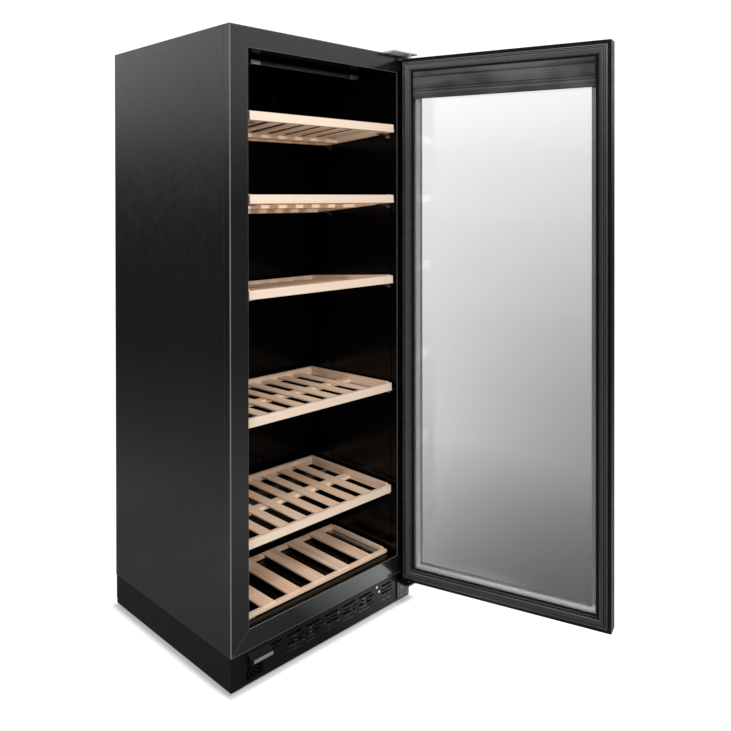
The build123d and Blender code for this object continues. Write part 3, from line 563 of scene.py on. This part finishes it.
SOFTENED = {
    "side_panel_left": 0.4, "side_panel_right": 0.4, "top_panel": 0.3, "machine_cover": 0.3,
    "face_frame_left": 0.9, "face_frame_right": 0.9, "face_frame_top": 0.9, "face_frame_sill": 0.9,
    "base_skirt_left": 0.6, "base_skirt_right": 0.6, "kickplate_insert": 0.4, "latch_hood": 1.0,
    "keeper_strip": 0.3, "hinge_bracket_top": 0.6, "hinge_bracket_bottom": 0.8,
    "door_stile_free": 0.5, "door_stile_hinge": 0.5, "door_rail_top": 0.5, "door_rail_bottom": 0.5,
    "door_handle": 0.5, "lock_barrel": 0.4, "shelf_clips": 0.4,
    "foot_front_left": 0.5, "foot_front_right": 0.5, "foot_rear_left": 0.5, "foot_rear_right": 0.5,
    "power_inlet": 0.5, "drip_tray": 0.5, "hinge_bushes": 0.4,
}
for node, bevel in SOFTENED.items():
    # the right stile takes the painted shade copy of the frame finish
    softened(f"{node}_shell", node, bevel, look=SHADED_STILE if node == "face_frame_right" else None)


GASKET_HALF = 284
GASKET_LOW = 84
GASKET_HIGH = 1526
PANE = 4
PANE_HALF = 261
PANE_LOW = 101
PANE_HIGH = 1507
PANE_FRONTS = (-50, -38, -26)   # from the outer pane to the inner one
SPACER_CLEAR = 0.15             # between a spacer and each of its panes
SPACER_INSET = 0.5              # from the panes' edges to the spacer's outer edge
HEADER_HALF = 252.6


def profile_ring(bm, profile, half, low, high):
    """A closed outline of (inset, depth) points carried round a rectangle with mitred corners."""
    corners = []
    for side_x, side_z in ((-1, 0), (1, 0), (1, 1), (-1, 1)):
        corner = []
        for inset, d in profile:
            z = high - inset if side_z else low + inset
            corner.append(bm.verts.new(point(side_x * (half - inset), d, z)))
        corners.append(corner)
    count = len(profile)
    for k in range(4):
        here, there = corners[k], corners[(k + 1) % 4]
        for i in range(count):
            j = (i + 1) % count
            bm.faces.new((here[i], here[j], there[j], there[i]))


def gasket():
    """Bellows gasket: a ridge and two channels, a wide band that slopes inwards, and a folded flank."""
    outline = [(0.6, -16), (0.0, -14.5), (0.0, -5.2), (0.8, -4.0), (2.4, -3.6), (3.0, -4.2), (3.2, -8.0),
               (4.8, -8.0), (5.0, -3.2), (5.6, -2.5), (6.8, -2.5), (7.2, -3.2), (7.4, -7.0), (8.8, -7.0),
               (9.0, -2.4), (9.8, -1.5), (11.4, -1.6), (14.0, -3.0), (17.6, -4.9), (19.0, -5.9),
               (19.4, -7.0), (17.6, -8.0), (17.6, -8.8), (20.6, -9.8), (20.6, -10.6), (18.6, -11.6),
               (18.6, -12.4), (21.6, -13.4), (22.0, -14.4), (22.0, -16)]
    bm = bmesh.new()
    profile_ring(bm, outline, GASKET_HALF, GASKET_LOW, GASKET_HIGH)
    piece("door_gasket_bellows", bm, "door", "gasket_black", ("door_gasket",), swing=True, smooth=40)


def bar_along_x(bm, outline, x0, x1):
    """A closed outline of (depth, z) points run straight from x0 to x1."""
    ends = [[bm.verts.new(point(x, d, z)) for d, z in outline] for x in (x0, x1)]
    for i in range(len(outline)):
        j = (i + 1) % len(outline)
        bm.faces.new((ends[0][i], ends[0][j], ends[1][j], ends[1][i]))
    for end in ends:
        bm.faces.new(end)


def header():
    """Cover over the control board: crowned bands between deep grooves, and a bevelled lower edge."""
    crown, face, groove, back = -9.0, -9.8, -13.0, -21.9
    outline = [(back, 1424.0), (-13.5, 1424.0), (-12.4, 1425.2), (face, 1432.0), (crown, 1437.0),
               (face, 1441.6), (groove, 1442.2), (groove, 1444.6), (face, 1445.2), (face, 1448.8),
               (groove, 1449.4), (groove, 1451.8), (face, 1452.4), (crown, 1466.0), (face, 1480.2),
               (groove, 1480.8), (groove, 1483.6), (face, 1484.2), (crown, 1490.0), (face, 1496.4),
               (-10.8, 1498.2), (back, 1498.2)]
    bm = bmesh.new()
    bar_along_x(bm, outline, -HEADER_HALF, HEADER_HALF)
    piece("header_cover_grooved", bm, "door", "header_black", ("header_cover",), swing=True, smooth=22)


def panes():
    """The three panes; the outer one carries the grey tint and its painted shade."""
    clear, tint_and_shade = bmesh.new(), bmesh.new()
    for bm, d in zip((tint_and_shade, clear, clear), PANE_FRONTS):
        add_box(bm, -PANE_HALF, PANE_HALF, d, d + PANE, PANE_LOW, PANE_HIGH, 0.3, 1)
    piece("glass_panes_clear", clear, "door", "pane_glass", ("glass_panes",), swing=True)
    piece("glass_pane_tinted", tint_and_shade, "door", "pane_glass", (), swing=True, look=TINTED_SHADED_PANE)


def spacers():
    """Two hollow-section spacer frames, a hair clear of the panes on each side."""
    bm = bmesh.new()
    for outside, inside in zip(PANE_FRONTS, PANE_FRONTS[1:]):
        near, far = outside + PANE + SPACER_CLEAR, inside - SPACER_CLEAR
        outline = [(1.0, near), (13.6, near), (13.9, near + 2.6), (15.8, near + 2.6), (16.1, near),
                   (19.0, near), (19.4, near + 0.5), (19.4, near + 2.4), (20.0, near + 3.0),
                   (20.0, far - 3.0), (19.4, far - 2.4), (19.4, far - 0.8), (18.6, far), (1.0, far)]
        profile_ring(bm, outline, PANE_HALF - SPACER_INSET, PANE_LOW + SPACER_INSET,
                     PANE_HIGH - SPACER_INSET)
    piece("glass_spacer_frames", bm, "door", "spacer_aluminium", ("glass_spacers",), swing=True, smooth=30)


SCREW_STEPS = 20
TOP_HINGE_SCREWS = ((225, 15), (250, 45), (275, 15))                # X and depth
KICKPLATE_SCREWS = ((168, 77), (177, 62))                           # X and height
LOWER_HINGE_SCREWS = ((258, 24), (281, 24), (258, 46), (281, 46))
HINGE_PLATE_TOP = 1555
LOWER_BRACKET_FACE = -1.6
COVER_FACE = 400
COVER_SCREWS = [(x, z) for x in (-222, 115, 222) for z in (480, 1451)]


def screw_head(bm, place, facing, radius, high):
    """A pan head with a round driver recess, facing along the given direction."""
    profile = [(radius, 0), (radius, high * 0.35), (radius * 0.9, high * 0.75), (radius * 0.62, high),
               (radius * 0.36, high), (radius * 0.33, high * 0.35), (radius * 0.12, high * 0.2)]
    turn = facing.to_track_quat("Z", "Y").to_matrix().to_4x4()
    rings = []
    for r, h in profile:
        ring = []
        for i in range(SCREW_STEPS):
            angle = 2 * pi * i / SCREW_STEPS
            local = Vector((r * cos(angle) * MM, r * sin(angle) * MM, h * MM))
            ring.append(bm.verts.new(place + turn @ local))
        rings.append(ring)
    for lower, upper in zip(rings, rings[1:]):
        for i in range(SCREW_STEPS):
            j = (i + 1) % SCREW_STEPS
            bm.faces.new((lower[i], lower[j], upper[j], upper[i]))
    bm.faces.new(rings[0])
    bm.faces.new(rings[-1])


def screws():
    """Bright heads on the top hinge and kickplate, blackened ones on the lower hinge and the cover."""
    up, out = Vector((0, 0, 1)), Vector((0, -1, 0))
    bright, dark = bmesh.new(), bmesh.new()
    for x, d in TOP_HINGE_SCREWS:
        screw_head(bright, point(x, d, HINGE_PLATE_TOP), up, 4.5, 2.2)
    for x, z in KICKPLATE_SCREWS:
        screw_head(bright, point(x, PLATE_FRONT, z), out, 3.5, 1.6)
    for x, z in LOWER_HINGE_SCREWS:
        screw_head(dark, point(x, LOWER_BRACKET_FACE, z), out, 4, 1.8)
    for x, z in COVER_SCREWS:
        screw_head(dark, point(x, COVER_FACE, z), out, 3.5, 1.5)
    piece("screw_heads_bright", bright, "cabinet", "screw_steel", ("cabinet_screws",))
    piece("screw_heads_dark", dark, "cabinet", "screw_steel", (), look=DARK_SCREW)


# ------------------------------------------------------------------ kickplate and ceiling light

ROUND_STEPS = 6         # segments of a slot's round end
CORNER_STEPS = 5
PLATE = (-261.5, 241.5, 8.3, 86.5)      # left, right, bottom and top
PLATE_FRONT = 2.5
PLATE_BACK = 5.0
FLANGE = 2.0
FLANGE_BACK = 17.5
WINDOW = (-256, -206, 16, 54)
WINDOW_ROUND = 6
WINDOW_CLEAR = -170     # below the two top rows, slots start to the right of this
SLOT_ROWS = 5
SLOT_ROW_PITCH = 10
SLOT_TOP_ROW = 72
SLOT_HALF = 2.5
SLOT_COLUMNS = 6
SLOT_START = -197.5
SLOT_STEP = 60
SLOT_SHIFT = 9
SLOT_LONG = 46
END_SLOT = (188, 226)
CLIP_OUTER = 181
CLIP_INNER = 151
CLIP_DEPTHS = (85, 99)
CLIP_HEIGHTS = (1482, 1493)
STEM_INSET = 10
STEM_DEPTHS = (90.5, 93.5)
STEM_HEIGHTS = (1492, 1502)


def rounded_slot(x0, x1, z0, z1):
    """Outline of a slot with rounded ends, in millimetres."""
    radius = (z1 - z0) / 2
    middle = (z0 + z1) / 2
    ends = []
    for centre, start in ((x1 - radius, -pi / 2), (x0 + radius, pi / 2)):
        for i in range(ROUND_STEPS + 1):
            angle = start + pi * i / ROUND_STEPS
            ends.append((centre + radius * cos(angle), middle + radius * sin(angle)))
    return ends


def rounded_rectangle(x0, x1, z0, z1, radius):
    points = []
    for cx, cz, start in ((x1 - radius, z0 + radius, -90), (x1 - radius, z1 - radius, 0),
                          (x0 + radius, z1 - radius, 90), (x0 + radius, z0 + radius, 180)):
        for i in range(CORNER_STEPS + 1):
            angle = radians(start + 90 * i / CORNER_STEPS)
            points.append((cx + radius * cos(angle), cz + radius * sin(angle)))
    return points


def pierced_plate(outlines, d0, d1, bevel):
    """A plate between two depths; the first outline is its edge, and the rest are its holes."""
    curve = bpy.data.curves.new("outline", "CURVE")
    curve.dimensions = "2D"
    curve.fill_mode = "BOTH"
    curve.extrude = ((d1 - d0) / 2 - bevel) * MM
    curve.bevel_depth = bevel * MM
    curve.bevel_resolution = 1
    curve.offset = -bevel * MM
    for outline in outlines:
        spline = curve.splines.new("POLY")
        spline.points.add(len(outline) - 1)
        for target, (x, z) in zip(spline.points, outline):
            target.co = (x * MM, z * MM, 0, 1)
        spline.use_cyclic_u = True
    holder = bpy.data.objects.new("outline", curve)
    mesh = bpy.data.meshes.new_from_object(holder)
    bm = bmesh.new()
    bm.from_mesh(mesh)
    bpy.data.objects.remove(holder)
    bpy.data.curves.remove(curve)
    bpy.data.meshes.remove(mesh)
    bmesh.ops.remove_doubles(bm, verts=bm.verts, dist=0.00001)
    stand = Matrix.Translation((0, FRONT + (d0 + d1) / 2 * MM, 0)) @ Matrix.Rotation(radians(90), 4, "X")
    bmesh.ops.transform(bm, matrix=stand, verts=bm.verts)
    return bm


def grille():
    """Kickplate: rows of rounded air slots, a rounded window for the insert and a top flange."""
    holes = []
    for row in range(SLOT_ROWS):
        z = SLOT_TOP_ROW - row * SLOT_ROW_PITCH
        low, high = z - SLOT_HALF, z + SLOT_HALF
        for column in range(SLOT_COLUMNS):
            x = SLOT_START + column * SLOT_STEP + row % 2 * SLOT_SHIFT
            if row < 2 or x > WINDOW_CLEAR:
                holes.append(rounded_slot(x, x + SLOT_LONG, low, high))
        holes.append(rounded_slot(*END_SLOT, low, high))
    holes.append(rounded_rectangle(*WINDOW, WINDOW_ROUND))
    left, right, bottom, top = PLATE
    edge = [(left, bottom), (right, bottom), (right, top), (left, top)]
    bm = pierced_plate([edge, *holes], PLATE_FRONT, PLATE_BACK, 0.5)
    add_box(bm, left, right, PLATE_BACK, FLANGE_BACK, top - FLANGE, top, 0.4)
    piece("kickplate_slotted", bm, "cabinet", "base_black", ("base_grille",), smooth=30)


def ceiling_light_clips():
    """Bright clips round the tube's ends, and the dark stems that hang them from the ceiling."""
    clips, stems = bmesh.new(), bmesh.new()
    for side in (-1, 1):
        x0, x1 = sorted((side * CLIP_OUTER, side * CLIP_INNER))
        add_box(clips, x0, x1, *CLIP_DEPTHS, *CLIP_HEIGHTS, 2.0, 3)
        add_box(stems, x0 + STEM_INSET, x1 - STEM_INSET, *STEM_DEPTHS, *STEM_HEIGHTS, 0.4)
    piece("light_clips_bright", clips, "cabinet", "lamp_clip", ("light_clips",))
    piece("light_clip_stems", stems, "cabinet", "liner_black", ())


gasket()
header()
panes()
spacers()
screws()
grille()
ceiling_light_clips()


# ------------------------------------------------------------------ stage, light, camera

STAGE_HALF = 30
CONTACT_SHADOW = 0.016      # width of the dark line on the floor round the base
DIFFUSE_FLOOR = 0.45        # part of the floor's glow that diffuse light doesn't get
BRIGHT_PATCH = (0.36, -0.42, 0.0)
WORLD_LEVEL = 1.14
DIFFUSE_WORLD = 0.40        # taken from that level for diffuse light, and more of it on the left
MIRRORED_LEVEL = 1.25
# Grey that reflections find, by the height of their direction
HORIZON = ((0.0, 0.08), (0.05, 0.20), (0.10, 0.55), (0.20, 1.0), (0.6, 0.8))
CAMERA_PLACE = (-1.2559, FRONT - 1.4783, 1.1497)
CAMERA_TURN = (radians(90 - 0.274), radians(0.055), radians(-46.861))
SENSOR = 36.0
LENS = 36.8323
SHIFT_X = -0.067715         # in sensor widths
SHIFT_Y = -0.22539


def stage():
    """White floor for the camera; in glossy reflections it darkens with distance and near the base."""
    mesh = bpy.data.meshes.new("studio_floor")
    corners = [(x * STAGE_HALF, y * STAGE_HALF, 0) for x, y in ((-1, -1), (1, -1), (1, 1), (-1, 1))]
    mesh.from_pydata(corners, [], [(0, 1, 2, 3)])
    floor = bpy.data.objects.new("studio_floor", mesh)
    tree = Tree("studio_white")
    tree.set(color=(0.45, 0.45, 0.45, 1), rough=0.9, specular=0.0)
    path = tree.add("LightPath").outputs
    where = tree.add("NewGeometry").outputs["Position"]
    beyond = tree.vector("SUBTRACT", tree.vector("ABSOLUTE", where), (HALF, -FRONT, 0))
    margin = tree.vector("LENGTH", tree.vector("MAXIMUM", beyond))
    seen = tree.math("SUBTRACT", 1.0, tree.math("MULTIPLY", path["Is Diffuse Ray"], DIFFUSE_FLOOR))
    shadow = tree.span(margin, 0.30, 0.84, 0.0, CONTACT_SHADOW)
    tree.shader.inputs["Emission Color"].default_value = (1, 1, 1, 1)
    tree.put(tree.shader.inputs["Emission Strength"], tree.math("MULTIPLY", seen, shadow))

    mirror = tree.add("Emission")
    distance = tree.span(tree.vector("LENGTH", where), 0.0, 1.0, 0.0, 5.0)
    grey = tree.ramp(distance, *greys((0.08, 0.22), (0.15, 0.40), (0.24, 0.66), (0.42, 0.34), (0.85, 0.10)))
    glow = tree.span(tree.vector("DISTANCE", where, BRIGHT_PATCH), 9.5, 0.0, 0.04, 0.34)
    behind = tree.span(tree.split(where)["Y"], 1.0, 0.42, 0.15, 0.75)
    tree.put(mirror.inputs["Color"], grey)
    tree.put(mirror.inputs["Strength"], tree.math("MULTIPLY", behind, tree.math("ADD", glow, 1.0)))

    both = tree.add("MixShader")
    reflected = tree.math("MINIMUM", path["Glossy Depth"], 1.0)
    undiffused = tree.math("SUBTRACT", 1.0, path["Is Diffuse Ray"])
    tree.put(both.inputs["Fac"], tree.math("MULTIPLY", reflected, undiffused))
    tree.put(both.inputs[1], tree.shader.outputs["BSDF"])
    tree.put(both.inputs[2], mirror.outputs["Emission"])
    tree.put(tree.nodes["Material Output"].inputs["Surface"], both.outputs["Shader"])
    tree.material.cycles.emission_sampling = "NONE"
    mesh.materials.append(tree.material)
    bpy.context.scene.collection.objects.link(floor)


def world():
    """White surroundings, softer for diffuse light; reflections see a dim horizon, brighter above."""
    made = bpy.data.worlds.new("studio")
    bpy.context.scene.world = made
    made.use_nodes = True
    made.cycles.sampling_method = "NONE"
    tree = Nodes(made.node_tree)
    white = tree.nodes["Background"]
    mirrored = tree.add("Background")
    path = tree.add("LightPath").outputs
    way = tree.split(tree.add("TexCoord").outputs["Generated"])
    from_left = tree.span(way["X"], 1.9, 0.8, -0.9, 0.5)
    softer = tree.math("MULTIPLY", tree.math("MULTIPLY", path["Is Diffuse Ray"], from_left), DIFFUSE_WORLD)
    tree.put(white.inputs["Color"], (1, 1, 1, 1))
    tree.put(white.inputs["Strength"], tree.math("SUBTRACT", WORLD_LEVEL, softer))
    tree.put(mirrored.inputs["Color"], tree.ramp(way["Z"], *greys(*HORIZON)))
    tree.put(mirrored.inputs["Strength"], MIRRORED_LEVEL)

    both = tree.add("MixShader")
    diffused = tree.math("MULTIPLY", path["Is Diffuse Ray"], 9.0)
    tree.put(both.inputs["Fac"], tree.math("SUBTRACT", path["Glossy Depth"], diffused, clamp=True))
    tree.put(both.inputs[1], white.outputs["Background"])
    tree.put(both.inputs[2], mirrored.outputs["Background"])
    tree.put(tree.nodes["World Output"].inputs["Surface"], both.outputs["Shader"])


def area_light(name, place, target, size, power):
    """A square lamp that lights the scene and isn't itself seen, mirrored or seen through glass."""
    data = bpy.data.lights.new(name, "AREA")
    data.shape = "SQUARE"
    data.size = size
    data.energy = power
    light = bpy.data.objects.new(name, data)
    light.location = place
    light.rotation_euler = (Vector(target) - Vector(place)).to_track_quat("-Z", "Y").to_euler()
    light.visible_camera = False
    light.visible_glossy = False
    light.visible_transmission = False
    bpy.context.scene.collection.objects.link(light)


def camera():
    data = bpy.data.cameras.new("camera")
    data.sensor_width = SENSOR
    data.lens = LENS
    data.shift_x = SHIFT_X
    data.shift_y = SHIFT_Y
    data.clip_end = 200
    cam = bpy.data.objects.new("camera", data)
    cam.location = CAMERA_PLACE
    cam.rotation_euler = CAMERA_TURN
    bpy.context.scene.collection.objects.link(cam)
    bpy.context.scene.camera = cam


stage()
world()
camera()
area_light("key", (0.3, -2.7, 3.4), (0, -0.2, 0.7), 1.4, 86)
area_light("side", (-2.6, -1.7, 1.5), (0.35, -0.6, 0.7), 1.2, 22)
area_light("fill", (2.6, -2.6, 2.4), (0, -0.2, 0.7), 2.0, 10)
bpy.context.scene.view_settings.view_transform = "Standard"
